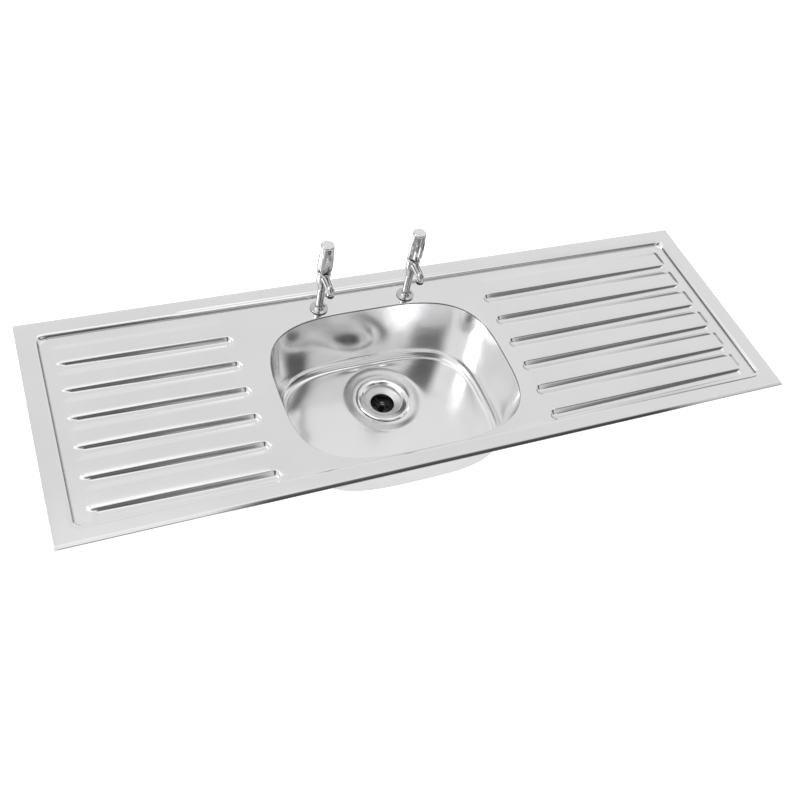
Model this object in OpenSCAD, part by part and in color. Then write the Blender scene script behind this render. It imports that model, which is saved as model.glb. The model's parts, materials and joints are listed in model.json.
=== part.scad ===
/* [Sink top] */
// Overall length of the sink top, left to right
top_length = 1500; // [1480:1:1540]
// Overall depth of the sink top, front to back
top_depth = 500; // [498:1:510]
// Thickness of the pressed steel sheet
sheet = 1.2; // [0.9:0.1:1.4]
// Height of the outer flange above the worktop
flange_height = 4; // [3.5:0.5:5]
// Width of the flat outer flange
flange_width = 30; // [29:0.5:31]
// Drop from the flange to the deck
step_drop = 8; // [7:0.5:9]
// Width of the sloping step between flange and deck
step_run = 10; // [9:0.5:11]
// Corner radius at the top of the step
recess_corner = 20; // [18:1:26]

/* [Drainers] */
// Ribs on each drainer
rib_count = 6; // [4:1:6]
// Distance between neighbouring grooves
groove_pitch = 65.6; // [64:0.2:66]
// Radius of the groove's round bottom
groove_radius = 11; // [10:0.5:12]
// Depth of each groove next to the bowl
groove_deep = 6; // [5:0.5:7]
// Depth of each groove at its outer end
groove_shallow = 2; // [1.6:0.1:2.4]
// Distance from the deck's outer edge to the grooves' outer ends
gutter = 30; // [26:1:40]
// Height of the raised ribs above the deck
rib_height = 2; // [1.6:0.1:2.4]

/* [Bowl] */
// Bowl centre, left or right of the middle
bowl_x = -65; // [-80:1:-60]
// Bowl centre, front or back of the middle
bowl_y = -25; // [-28:1:-24]
// Length of the bowl opening
bowl_length = 482; // [470:1:488]
// Front to back size of the bowl opening
bowl_width = 364; // [350:1:366]
// Squareness of the opening, where 2 is an ellipse
bowl_square = 3.3; // [2.8:0.1:4]
// Depth of the bowl below the deck
bowl_depth = 152; // [130:1:170]
// Lean of the bowl walls in degrees
wall_draft = 6; // [4:0.5:8]
// Radius between wall and floor
floor_radius = 20; // [18:1:26]
// Shift of the floor to the right of the opening
floor_right = 10; // [0:1:10]
// Waste centre to the right of the bowl centre
waste_right = 17; // [0:1:20]
// Waste centre behind the bowl centre
waste_back = 57; // [30:1:58]

/* [Waste] */
// Outside diameter of the strainer flange
waste_flange_d = 118; // [112:1:120]
// Diameter of the strainer cup
cup_d = 84; // [80:1:86]
// Outlet hole in the bottom of the cup
outlet_d = 51; // [46:1:52]
// Outside diameter of the 1 1/2 inch outlet tail
tail_d = 47.8; // [47:0.1:48]

/* [Taps] */
// Distance between the two taps
tap_pitch = 194; // [180:1:200]
// Tap centres behind the middle of the sink top
tap_y = 180; // [177:0.5:184]
// Diameter of the tap's stem
stem_d = 16.4; // [15.6:0.2:17]
// Diameter of the flared tap foot
foot_d = 38; // [36:1:39]
// Distance from the tap's axis to its outlet
spout_reach = 45; // [40:1:60]
// Diameter of the half inch inlet tail
inlet_d = 20.96; // [20.6:0.01:21]
// Handle diameter at its widest
handle_d = 33.2; // [32:0.2:35]

/* [Fixings] */
// Thickness of the worktop that the clips hold
worktop = 38; // [28:1:40]
// Clips along each long side
clips_long = 5; // [3:1:6]

/* [Hidden] */
$fn = 64;

// Levels: the worktop's surface is at zero
lip_z = 0.3;
deck_z = flange_height - step_drop;
deck_under = deck_z - sheet;
lap = 1;
// Half sizes of the recess at the flange and at the deck
recess_x = top_length / 2 - flange_width;
recess_y = top_depth / 2 - flange_width;
deck_x = recess_x - step_run;
deck_y = recess_y - step_run;

// Grooves and ribs
first_groove_y = 132;
groove_out = deck_x - gutter;
left_groove_in = bowl_x - bowl_length / 2 - 61;
right_groove_in = bowl_x + bowl_length / 2 + 38;
rib_gap = 20;
rib_past = 10;
rib_corner = 8;

// Bowl: the walls lean in by the draft, then turn into a flat floor around the waste
bowl_steps = 72;
fillet_steps = 6;
floor_z = deck_z - bowl_depth;
fillet_z = floor_z + floor_radius * (1 - sin(wall_draft));
wall_inset = (deck_under - fillet_z) * tan(wall_draft);
fillet_in = wall_inset + floor_radius * cos(wall_draft);
fillet_centre = floor_z + floor_radius;
under_radius = floor_radius + sheet;
waste_x = bowl_x + waste_right;
waste_y = bowl_y + waste_back;
recess_r = 86;
seat_drop = 4;
seat_r = waste_flange_d / 2 + 4;
seat_z = floor_z - seat_drop;
bowl_hole_r = 45;

// Waste
top_seal_t = 1.5;
waste_under = seat_z - sheet;
strainer_z = seat_z + top_seal_t;
cup_wall = 1.2;
cup_z = seat_z - 7;
cup_floor_z = seat_z - 12.5;
collar_h = 8;
spider_h = 2.8;
boss_h = 4;
lower_seal_t = 2;
body_top = waste_under - lower_seal_t;
body_mid = body_top - 34;
tail_bottom = body_mid - 42;
spider_arms = 4;
spider_turn = 20;
arm_w = 2.2;
boss_r = 5.6;

// Taps, in heights above the deck
hot_x = bowl_x - tap_pitch / 2;
cold_x = bowl_x + tap_pitch / 2;
foot_z = 1.5;
foot_rim = 3;
flare_h = 7.6;
waist_r = 7;
waist_top = 12;
stem_low = 13;
stem_top = 58;
shoulder_z = 84;
collar_z = 108;
collar_r = 14.6;
body_bore = 11;
chamber_z = 82;
water_r = 5.5;
spout_z = 98.5;
outlet_z = 95.5;
spout_r = 8.4;
spout_drop = 9.2;
nozzle_r = 7.6;
nozzle_h = 6;
tail_len = 58;
tail_plain = 38;
relief_h = 3;
handle_z = 110.5;
handle_top = 176;
cap_r = 12.8;
cap_t = 3;
spindle_r = 4;
spindle_top = 152;
run_gap = 0.05;
disc_r = 8;
disc_z = chamber_z + 4;
disc_t = 2.5;
screw_seat_z = 162;
flutes = 5;
flute_r = 9;
flute_depth = 3;
flute_run = 41.5;
cold_turn = 28;

// Clips
rail_in = 2;
rail_drop = 31;
rail_lap = 14;
clip_w = 18;
clip_foot = 11;
screw_r = 2.5;
screw_in = 5;
screw_head_h = 3.5;
screw_len = 20;
jaw_w = 12;
jaw_len = 32;
jaw_t = 3;
hook_w = 10;
hook_t = 2;
hook_z = -16;
bracket_bottom = 4 - worktop;
tag_x = -330;
tag_t = 2;

// One point of a rounded, squarish opening
function opening_point(a, b, t) = [
    a * sign(cos(t)) * pow(abs(cos(t)), 2 / bowl_square),
    b * sign(sin(t)) * pow(abs(sin(t)), 2 / bowl_square)
];

// The opening, drawn in by an inset, about the bowl's centre
function opening(inset) = [
    for (i = [0 : bowl_steps - 1])
        opening_point(bowl_length / 2 - inset, bowl_width / 2 - inset, i * 360 / bowl_steps)
];

// A circle about the waste with one point for each point of the opening
function waste_circle(r) = [
    for (p = opening(0)) let (a = atan2(p.y, p.x)) [waste_right + r * cos(a), waste_back + r * sin(a)]
];

// Lifts a flat ring of points to a height
function at_height(ring, z) = [for (p = ring) [p.x, p.y, z]];

// A ring of the wall, which moves to the right on its way down to the floor
function wall_ring(inset, z) =
    let (shift = floor_right * (deck_under - z) / (deck_under - floor_z))
    [for (p = opening(inset)) [p.x + shift, p.y, z]];

// Inner skin from the rim down to the waste hole, then the outer skin, ring by ring
fillet_angles = [for (i = [0 : fillet_steps]) wall_draft + (90 - wall_draft) * i / fillet_steps];
inner_rings = concat(
    [wall_ring(0, deck_under)],
    [for (a = fillet_angles)
        wall_ring(fillet_in - floor_radius * cos(a), fillet_centre - floor_radius * sin(a))],
    [at_height(waste_circle(recess_r), floor_z)],
    [at_height(waste_circle(seat_r), seat_z)],
    [at_height(waste_circle(bowl_hole_r), seat_z)]
);
outer_rings = concat(
    [wall_ring(-sheet / cos(wall_draft), deck_under)],
    [for (a = fillet_angles)
        wall_ring(fillet_in - under_radius * cos(a), fillet_centre - under_radius * sin(a))],
    [at_height(waste_circle(recess_r), floor_z - sheet)],
    [at_height(waste_circle(seat_r), seat_z - sheet)],
    [at_height(waste_circle(bowl_hole_r), seat_z - sheet)]
);
bowl_levels = len(inner_rings);

// Four sided faces between two rings whose first points are given
function band(first, second) = [
    for (i = [0 : bowl_steps - 1])
        let (j = (i + 1) % bowl_steps) [first + i, first + j, second + j, second + i]
];

// Flat shapes
module rounded_rect(hx, hy, r) {
    square([2 * hx, 2 * (hy - r)], center = true);
    square([2 * (hx - r), 2 * hy], center = true);
    for (sx = [-1, 1], sy = [-1, 1])
        translate([sx * (hx - r), sy * (hy - r)]) circle(r);
}

module ring(outer_r, inner_r, h) {
    difference() {
        cylinder(r = outer_r, h = h);
        translate([0, 0, -1]) cylinder(r = inner_r, h = h + 2);
    }
}

// Carries a flat profile around the recess: profile x points outwards, profile y upwards
module around_recess() {
    for (mx = [0, 1], my = [0, 1])
        mirror([mx, 0, 0]) mirror([0, my, 0])
            translate([recess_x - recess_corner, recess_y - recess_corner, 0])
                rotate_extrude(angle = 90) translate([recess_corner, 0]) children();
    for (my = [0, 1])
        mirror([0, my, 0]) translate([recess_corner - recess_x, recess_y, 0])
            rotate([90, 0, 90]) linear_extrude(2 * (recess_x - recess_corner)) children();
    for (mx = [0, 1])
        mirror([mx, 0, 0]) translate([recess_x, recess_y - recess_corner, 0])
            rotate([90, 0, 0]) linear_extrude(2 * (recess_y - recess_corner)) children();
}

// The step's broad round shoulder, as one face of the sheet, from its foot up to the flange
function shoulder(run, rise) = [for (a = [0 : 15 : 90]) [-run * cos(a), deck_z + rise * sin(a)]];

module step_profile() {
    lower = shoulder(step_run - sheet, step_drop - sheet);
    polygon(concat(
        [[-step_run - lap, deck_under], [-step_run - lap, deck_z]],
        shoulder(step_run, step_drop),
        [[lap, flange_height], [lap, flange_height - sheet]],
        [for (i = [len(lower) - 1 : -1 : 0]) lower[i]],
        [[sheet - step_run, deck_under]]
    ));
}

// One rib's outline, between its groove and the next one behind it
module rib_outline(groove_in, inset) {
    from = groove_in - 4 + inset;
    to = groove_out + rib_past - inset;
    translate([(from + to) / 2, groove_pitch / 2])
        rounded_rect((to - from) / 2, (groove_pitch - rib_gap) / 2 - inset, rib_corner - inset);
}

// One groove: a round trough that rises outwards and ends in a ball next to the bowl
module groove(groove_in, r) {
    run = groove_out - groove_in;
    rise = groove_deep - groove_shallow;
    translate([groove_in, 0, deck_z - groove_deep + groove_radius])
        rotate([0, 90 - atan(rise / run), 0]) rotate_extrude() intersection() {
            union() {
                circle(r);
                translate([-r, 0]) square([2 * r, sqrt(run * run + rise * rise)]);
            }
            translate([0, -r]) square([r, run + 2 * r]);
        }
}

module each_rib() {
    for (k = [0 : rib_count - 1])
        translate([0, first_groove_y - k * groove_pitch, 0]) children();
}

// Both drainers are laid out outwards from the bowl, the left one mirrored
module both_drainers(kind, value) {
    for (side = [0, 1])
        mirror([side, 0, 0]) each_rib() {
            groove_in = side == 0 ? right_groove_in : -left_groove_in;
            if (kind == "rib")
                rib_outline(groove_in, value);
            if (kind == "groove")
                groove(groove_in, value);
        }
}

module sink_top() {
    color("silver") difference() {
        union() {
            translate([0, 0, flange_height - sheet]) linear_extrude(sheet) difference() {
                square([top_length, top_depth], center = true);
                rounded_rect(recess_x, recess_y, recess_corner);
            }
            translate([0, 0, lip_z]) linear_extrude(flange_height - lip_z) difference() {
                square([top_length, top_depth], center = true);
                square([top_length - 2 * sheet, top_depth - 2 * sheet], center = true);
            }
            around_recess() step_profile();
            difference() {
                union() {
                    translate([0, 0, deck_under]) linear_extrude(sheet)
                        rounded_rect(deck_x, deck_y, recess_corner - step_run);
                    translate([0, 0, deck_under]) linear_extrude(sheet + rib_height) both_drainers("rib", 0);
                }
                translate([0, 0, deck_under - lap]) linear_extrude(lap + rib_height)
                    both_drainers("rib", sheet);
            }
            intersection() {
                both_drainers("groove", groove_radius + sheet);
                translate([-deck_x, -deck_y, deck_under - 2 * groove_radius])
                    cube([2 * deck_x, 2 * deck_y, 2 * groove_radius + sheet]);
            }
        }
        both_drainers("groove", groove_radius);
        translate([bowl_x, bowl_y, deck_under - lap]) linear_extrude(sheet + 2 * lap) polygon(opening(0));
        for (x = [hot_x, cold_x])
            translate([x, tap_y, deck_under - lap]) cylinder(d = 27, h = sheet + 2 * lap);
    }
}

module bowl() {
    last = bowl_levels - 1;
    skin = bowl_levels * bowl_steps;
    inner_faces = [for (k = [0 : last - 1]) each band((k + 1) * bowl_steps, k * bowl_steps)];
    outer_faces = [for (k = [0 : last - 1]) each band(skin + k * bowl_steps, skin + (k + 1) * bowl_steps)];
    color("gainsboro") translate([bowl_x, bowl_y, 0]) polyhedron(
        points = [for (r = inner_rings) each r, for (r = outer_rings) each r],
        faces = concat(
            inner_faces, outer_faces,
            band(0, skin),
            band(skin + last * bowl_steps, last * bowl_steps)
        )
    );
}

// Foam strip under the flange, which the worktop carries
module rim_seal() {
    outer = 2;
    inner = 8.5;
    color("dimgray") linear_extrude(flange_height - sheet) difference() {
        square([top_length - 2 * outer, top_depth - 2 * outer], center = true);
        square([top_length - 2 * inner, top_depth - 2 * inner], center = true);
    }
}

// Damping pads stuck under the flat parts of the bowl's floor
module sound_pads() {
    pad_x = 60;
    pad_y = 150;
    pad_t = 2.5;
    pad_out = 145;
    color("dimgray") for (side = [-1, 1])
        translate([bowl_x + floor_right + side * pad_out, bowl_y, floor_z - sheet - pad_t])
            linear_extrude(pad_t) rounded_rect(pad_x / 2, pad_y / 2, 8);
}

// Angle strips welded under the flange, just inside the worktop's cut-out
module rail(length) {
    translate([0, 0, flange_height - sheet]) rotate([90, 0, 90])
        linear_extrude(length, center = true) polygon([
            [rail_in, 0], [rail_in + rail_lap, 0], [rail_in + rail_lap, -sheet],
            [rail_in + sheet, -sheet], [rail_in + sheet, -rail_drop], [rail_in, -rail_drop]
        ]);
}

// Slots in the rails take the hooks of the clip brackets
module fixing_rails() {
    color("darkgray") difference() {
        union() {
            for (turn = [0, 180])
                rotate([0, 0, turn]) translate([0, recess_y, 0]) rail(2 * recess_x - 60);
            for (turn = [90, 270])
                rotate([0, 0, turn]) translate([0, recess_x, 0]) rail(2 * recess_y - 60);
        }
        each_clip() translate([-hook_w / 2 - 0.5, 0, hook_z - 0.4]) cube([hook_w + 1, 5, hook_t + 0.8]);
    }
}

// Puts one clip at each place, with its y axis pointing out of the sink from the recess's edge
module each_clip() {
    long_step = (2 * recess_x - 200) / (clips_long - 1);
    for (turn = [0, 180], i = [0 : clips_long - 1])
        rotate([0, 0, turn]) translate([100 - recess_x + i * long_step, recess_y, 0]) children();
    for (turn = [90, 270], i = [-1, 1])
        rotate([0, 0, turn]) translate([i * 110, recess_x, 0]) children();
}

// The bracket stands inside the rail, hooks through its slot and holds the screw's thread
module clip_brackets() {
    color("darkgray") each_clip() difference() {
        union() {
            translate([-clip_w / 2, rail_in - hook_t, bracket_bottom])
                cube([clip_w, hook_t, hook_z + 6 - bracket_bottom]);
            translate([-clip_w / 2, -clip_foot, bracket_bottom]) cube([clip_w, clip_foot + rail_in, 3]);
            translate([-hook_w / 2, rail_in - hook_t, hook_z]) cube([hook_w, 2 * hook_t + sheet, hook_t]);
            translate([-hook_w / 2, rail_in + sheet + 0.4, hook_z - 5])
                cube([hook_w, hook_t - 0.4, 5 + hook_t]);
        }
        translate([0, -screw_in, bracket_bottom - 1]) cylinder(r = screw_r, h = 5);
    }
}

// Each jaw is turned in along the rim, so that the sink drops into its cut-out
module clip_jaws() {
    tooth = 3;
    color("darkgray") each_clip() translate([0, -screw_in, -worktop - jaw_t]) difference() {
        union() {
            translate([-jaw_w / 2, -jaw_w / 2, 0]) cube([jaw_len, jaw_w, jaw_t]);
            translate([jaw_len - jaw_w / 2 - tooth, -jaw_w / 2, 0]) cube([tooth, jaw_w, jaw_t + tooth]);
        }
        translate([0, 0, -1]) cylinder(r = screw_r + 0.4, h = jaw_t + 2);
    }
}

module clip_screws() {
    color("lightgray") each_clip()
        translate([0, -screw_in, -worktop - jaw_t - screw_head_h]) {
            difference() {
                cylinder(r = 4.4, h = screw_head_h);
                translate([-0.6, -6, -1]) cube([1.2, 12, 2.4]);
            }
            cylinder(r = screw_r, h = screw_head_h + screw_len);
        }
}

// Lug under the deck for the building's earth wire
module earth_tag() {
    color("darkgray") translate([tag_x, 0, deck_under]) difference() {
        union() {
            translate([-tag_t, -10, -22]) cube([tag_t, 20, 22]);
            translate([-18, -10, -tag_t]) cube([18, 20, tag_t]);
        }
        translate([-tag_t - 1, 0, -12]) rotate([0, 90, 0]) cylinder(r = 3, h = tag_t + 2);
    }
}

module earth_screw() {
    color("goldenrod") translate([tag_x, 0, deck_under - 12]) rotate([0, 90, 0]) {
        cylinder(r = 5.2, h = 3.4);
        translate([0, 0, -10]) cylinder(r = 3, h = 11);
    }
}

module earth_nut() {
    color("goldenrod") translate([tag_x - tag_t, 0, deck_under - 12]) rotate([0, -90, 0]) difference() {
        cylinder(d = 11.5, h = 5, $fn = 6);
        translate([0, 0, -1]) cylinder(r = 3, h = 7);
    }
}

// Everything at the waste is turned about the waste's own axis
module at_waste() {
    translate([waste_x, waste_y, 0]) children();
}

// Flange and cup in one pressing, with a cross of arms and a boss in its outlet
module waste_strainer() {
    flange_r = waste_flange_d / 2;
    cup_r = cup_d / 2;
    hole_r = outlet_d / 2;
    color("whitesmoke") at_waste() {
        rotate_extrude() polygon([
            [flange_r, strainer_z], [flange_r, strainer_z + 1], [flange_r - 5, strainer_z + 2.6],
            [cup_r + 3, strainer_z + 2.6], [cup_r, strainer_z], [cup_r - 2, cup_z],
            [hole_r, cup_floor_z], [hole_r, cup_floor_z - cup_wall],
            [cup_r - 1, cup_z - cup_wall], [cup_r + cup_wall, strainer_z]
        ]);
        translate([0, 0, cup_floor_z - collar_h]) {
            difference() {
                intersection() {
                    union() {
                        cylinder(r = boss_r, h = boss_h);
                        for (k = [0 : spider_arms - 1])
                            rotate([0, 0, k * 360 / spider_arms + spider_turn])
                                translate([0, -arm_w / 2, 0]) cube([hole_r + 3, arm_w, spider_h]);
                    }
                    cylinder(r = hole_r + 1.5, h = boss_h);
                }
                translate([0, 0, -1]) cylinder(r = 3.2, h = boss_h + 2);
            }
            ring(hole_r + 1.5, hole_r, collar_h);
        }
    }
}

module waste_top_seal() {
    color("dimgray") at_waste() translate([0, 0, seat_z])
        ring(waste_flange_d / 2 - 2, bowl_hole_r, top_seal_t);
}

module waste_lower_seal() {
    color("dimgray") at_waste() translate([0, 0, body_top]) ring(55, bowl_hole_r, lower_seal_t);
}

// Plastic cup under the bowl, drawn up by the centre screw, with the outlet tail
module waste_body() {
    wall = 3;
    tail_r = tail_d / 2;
    bore_r = tail_r - 3.4;
    color("white") at_waste() {
        rotate_extrude() polygon([
            [56, body_top], [56, body_top - wall], [50, body_top - wall], [49, body_mid + 8],
            [tail_r, body_mid], [tail_r, tail_bottom], [bore_r, tail_bottom], [bore_r, body_mid + wall],
            [49 - wall, body_mid + 8 + wall], [50 - wall, body_top]
        ]);
        difference() {
            union() {
                translate([0, 0, body_mid + wall - 6])
                    cylinder(r = boss_r, h = cup_floor_z - collar_h - body_mid - wall + 6);
                for (k = [0 : spider_arms - 1])
                    rotate([0, 0, k * 360 / spider_arms + spider_turn])
                        translate([0, -1.5, body_mid + wall - 6]) cube([bore_r + 1, 3, 6]);
            }
            translate([0, 0, body_mid + 2]) cylinder(r = 3, h = 20);
        }
    }
}

// Centre screw through the strainer's boss into the waste body
module waste_screw() {
    head_z = cup_floor_z - collar_h + boss_h;
    color("lightgray") at_waste() {
        difference() {
            translate([0, 0, head_z]) cylinder(r = 5, h = 3);
            translate([-6, -0.8, head_z + 1.6]) cube([12, 1.6, 2]);
        }
        translate([0, 0, body_mid + 4]) cylinder(r = 3, h = head_z - body_mid - 3);
    }
}

// Concave flare from the foot's rim up to a waist under the stem
foot_profile = concat(
    [[0, foot_z], [foot_d / 2 - 0.6, foot_z], [foot_d / 2, foot_z + 0.6], [foot_d / 2, foot_rim]],
    [for (a = [15 : 15 : 90]) [
        foot_d / 2 - (foot_d / 2 - waist_r) * sin(a),
        foot_rim + flare_h * (1 - cos(a))
    ]],
    [[waist_r, waist_top], [stem_d / 2, stem_low]]
);

// The spout's waterway or outer skin: a sloping arm, a rounded elbow and a short drop
module spout(r, elbow_r, drop) {
    slope = atan((spout_z - outlet_z) / spout_reach);
    translate([0, 0, spout_z]) rotate([90 + slope, 0, 0]) cylinder(r = r, h = spout_reach / cos(slope));
    translate([0, -spout_reach, outlet_z]) sphere(elbow_r);
    translate([0, -spout_reach, outlet_z - drop]) cylinder(r = r - 0.2, h = drop);
}

// Foot, stem, body and spout in one casting, with its inlet tail below the deck
module tap_body() {
    color("whitesmoke") difference() {
        union() {
            rotate_extrude() polygon(concat(foot_profile, [
                [stem_d / 2, stem_top], [collar_r - 1, shoulder_z], [collar_r, shoulder_z + 4],
                [collar_r, collar_z - 1.5], [collar_r - 1.5, collar_z], [0, collar_z]
            ]));
            translate([0, 0, -tail_len]) cylinder(d = inlet_d, h = tail_len + foot_z);
            spout(spout_r, spout_r + 0.5, spout_drop);
        }
        translate([0, 0, tail_plain - tail_len]) ring(inlet_d, inlet_d / 2 - 0.7, relief_h);
        translate([0, 0, -tail_len - 1]) cylinder(r = water_r, h = chamber_z + tail_len + 2);
        translate([0, 0, chamber_z]) cylinder(r = body_bore, h = 40);
        spout(water_r, water_r + 0.4, 20);
    }
}

module foot_seal() {
    color("dimgray") ring(foot_d / 2 - 1, inlet_d / 2, foot_z);
}

module fixing_washer() {
    color("dimgray") translate([0, 0, -sheet - 3]) ring(16, inlet_d / 2, 3);
}

module backnut() {
    color("goldenrod") translate([0, 0, -sheet - 3 - 8]) difference() {
        cylinder(d = 34, h = 8, $fn = 6);
        translate([0, 0, -1]) cylinder(d = inlet_d, h = 10);
    }
}

// Ring at the spout's end, with the aerator inside it
module nozzle() {
    color("whitesmoke") translate([0, -spout_reach, outlet_z - spout_drop - nozzle_h]) difference() {
        union() {
            translate([0, 0, 1]) cylinder(r = nozzle_r + 0.6, h = nozzle_h - 1);
            cylinder(r = nozzle_r, h = 2);
        }
        translate([0, 0, -1]) cylinder(r = nozzle_r - 1.4, h = nozzle_h - 1);
        cylinder(r = water_r, h = nozzle_h + 1);
    }
}

module aerator() {
    color("gray") translate([0, -spout_reach, outlet_z - spout_drop - nozzle_h + 1.2]) difference() {
        cylinder(r = nozzle_r - 1.4, h = nozzle_h - 3.2);
        translate([0, 0, -1]) cylinder(r = nozzle_r - 3, h = 2.4);
        for (a = [0 : 60 : 300])
            rotate([0, 0, a]) translate([2.9, 0, -1]) cylinder(r = 0.9, h = nozzle_h, $fn = 16);
        translate([0, 0, -1]) cylinder(r = 0.9, h = nozzle_h, $fn = 16);
    }
}

// Valve cartridge that screws into the body, with its two ceramic discs
module headwork() {
    color("goldenrod") difference() {
        translate([0, 0, chamber_z + 0.2]) cylinder(r = body_bore, h = collar_z - chamber_z + 2);
        translate([0, 0, chamber_z - 1]) cylinder(r = disc_r + run_gap, h = spout_z - chamber_z + 4);
        translate([0, 0, chamber_z]) cylinder(r = spindle_r + run_gap, h = 40);
        translate([0, 0, spout_z - 1.5]) rotate([90, 0, 0]) cylinder(r = 4, h = 20);
    }
}

module fixed_disc() {
    color("ivory") translate([0, 0, disc_z]) difference() {
        cylinder(r = disc_r, h = disc_t);
        for (a = [0, 180])
            rotate([0, 0, a]) translate([4.4, 0, -1]) cylinder(r = 2.4, h = disc_t + 2);
    }
}

module turning_disc() {
    color("ivory") translate([0, 0, disc_z + disc_t + run_gap]) difference() {
        cylinder(r = disc_r, h = disc_t);
        for (a = [90, 270])
            rotate([0, 0, a]) translate([4.4, 0, -1]) cylinder(r = 2.4, h = disc_t + 2);
    }
}

module spindle() {
    foot = disc_z + 2 * disc_t + run_gap;
    color("goldenrod") translate([0, 0, foot]) {
        cylinder(r = disc_r - 0.6, h = 2);
        cylinder(r = spindle_r, h = spindle_top - foot);
    }
}

// Barrel handle, hollow below, with finger flutes that run out at its lower edge
module handle() {
    wide_r = handle_d / 2;
    color("whitesmoke") difference() {
        rotate_extrude() polygon([
            [0, handle_z], [wide_r - 2.6, handle_z], [wide_r - 1.2, handle_z + 3],
            [wide_r - 0.3, handle_z + 9], [wide_r, handle_z + 16], [wide_r - 0.3, handle_z + 30],
            [wide_r - 1, handle_z + 46], [wide_r - 1.9, handle_z + 60], [wide_r - 2.8, handle_top - 1],
            [wide_r - 3.4, handle_top], [0, handle_top]
        ]);
        translate([0, 0, handle_z - 1]) difference() {
            cylinder(r = wide_r - 4, h = 22);
            cylinder(r = 7, h = 22);
        }
        translate([0, 0, handle_z - 1]) cylinder(r = spindle_r, h = spindle_top - handle_z + 1);
        cylinder(r = 2, h = handle_top);
        translate([0, 0, screw_seat_z]) cylinder(r = 4.6, h = 20);
        translate([0, 0, handle_top - cap_t]) cylinder(r = cap_r, h = cap_t + 1);
        for (k = [0 : flutes - 1])
            rotate([0, 0, k * 360 / flutes])
                translate([0, flute_depth - wide_r - flute_r, handle_z - 2]) rotate([-1.5, 0, 0]) {
                    cylinder(r = flute_r, h = flute_run);
                    translate([0, 0, flute_run]) sphere(flute_r);
                }
    }
}

module handle_screw() {
    color("lightgray") {
        translate([0, 0, screw_seat_z]) cylinder(r = 4.2, h = 4);
        translate([0, 0, spindle_top]) cylinder(r = 2, h = screw_seat_z - spindle_top + 1);
    }
}

module index_cap() {
    color("whitesmoke") translate([0, 0, handle_top - cap_t]) {
        cylinder(r = cap_r - 0.1, h = cap_t + 0.4);
        translate([0, 0, cap_t + 0.4]) cylinder(r1 = cap_r - 0.1, r2 = cap_r - 1.4, h = 0.6);
    }
}

module at_hot() {
    translate([hot_x, tap_y, deck_z]) children();
}

module at_cold() {
    translate([cold_x, tap_y, deck_z]) children();
}

module at_cold_handle() {
    at_cold() rotate([0, 0, cold_turn]) children();
}

sink_top();
bowl();
rim_seal();
sound_pads();
fixing_rails();
clip_brackets();
clip_jaws();
clip_screws();
earth_tag();
earth_screw();
earth_nut();
waste_strainer();
waste_top_seal();
waste_lower_seal();
waste_body();
waste_screw();
at_hot() tap_body();  // hot_tap_body
at_hot() foot_seal();  // hot_foot_seal
at_hot() fixing_washer();  // hot_fixing_washer
at_hot() backnut();  // hot_backnut
at_hot() nozzle();  // hot_nozzle
at_hot() aerator();  // hot_aerator
at_hot() headwork();  // hot_headwork
at_hot() fixed_disc();  // hot_fixed_disc
at_hot() turning_disc();  // hot_turning_disc
at_hot() spindle();  // hot_spindle
at_hot() handle();  // hot_handle
at_hot() handle_screw();  // hot_handle_screw
at_hot() index_cap();  // hot_index_cap
at_cold() tap_body();  // cold_tap_body
at_cold() foot_seal();  // cold_foot_seal
at_cold() fixing_washer();  // cold_fixing_washer
at_cold() backnut();  // cold_backnut
at_cold() nozzle();  // cold_nozzle
at_cold() aerator();  // cold_aerator
at_cold() headwork();  // cold_headwork
at_cold() fixed_disc();  // cold_fixed_disc
at_cold_handle() turning_disc();  // cold_turning_disc
at_cold_handle() spindle();  // cold_spindle
at_cold_handle() handle();  // cold_handle
at_cold_handle() handle_screw();  // cold_handle_screw
at_cold_handle() index_cap();  // cold_index_cap
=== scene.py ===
"""Looks of an inset stainless sink top with one bowl, two drainers and two pillar taps.

The pieces' lengths are in millimetres, and make_piece turns them into the frame's metres. The
camera, the grain of the materials and the studio are in metres.
"""

import json
import math

import bmesh
import bpy
import numpy as np
from mathutils import Matrix, Vector


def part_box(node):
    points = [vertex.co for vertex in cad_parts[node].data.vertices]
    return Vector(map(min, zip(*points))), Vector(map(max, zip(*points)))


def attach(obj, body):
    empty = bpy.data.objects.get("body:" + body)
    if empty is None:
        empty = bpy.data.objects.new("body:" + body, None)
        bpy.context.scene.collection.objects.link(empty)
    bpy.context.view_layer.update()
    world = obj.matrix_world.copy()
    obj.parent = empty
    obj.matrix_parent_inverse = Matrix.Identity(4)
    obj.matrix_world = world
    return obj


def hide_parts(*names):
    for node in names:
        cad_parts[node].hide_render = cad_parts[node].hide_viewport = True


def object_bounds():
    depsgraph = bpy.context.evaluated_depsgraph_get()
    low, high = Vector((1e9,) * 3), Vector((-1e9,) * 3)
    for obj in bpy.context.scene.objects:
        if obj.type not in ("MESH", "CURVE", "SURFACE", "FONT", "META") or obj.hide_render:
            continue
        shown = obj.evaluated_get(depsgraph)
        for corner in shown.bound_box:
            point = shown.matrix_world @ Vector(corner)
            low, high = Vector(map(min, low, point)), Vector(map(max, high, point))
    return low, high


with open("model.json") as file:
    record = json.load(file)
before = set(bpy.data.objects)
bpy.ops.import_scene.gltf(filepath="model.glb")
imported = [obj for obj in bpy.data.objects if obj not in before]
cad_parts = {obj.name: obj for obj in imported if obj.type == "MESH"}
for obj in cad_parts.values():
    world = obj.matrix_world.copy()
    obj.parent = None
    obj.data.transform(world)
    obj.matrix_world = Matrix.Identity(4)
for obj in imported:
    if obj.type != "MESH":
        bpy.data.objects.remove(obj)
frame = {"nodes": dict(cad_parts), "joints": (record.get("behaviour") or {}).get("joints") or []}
cad_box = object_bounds()

MM = 0.001

# ---------------------------------------------------------------- camera

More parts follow.
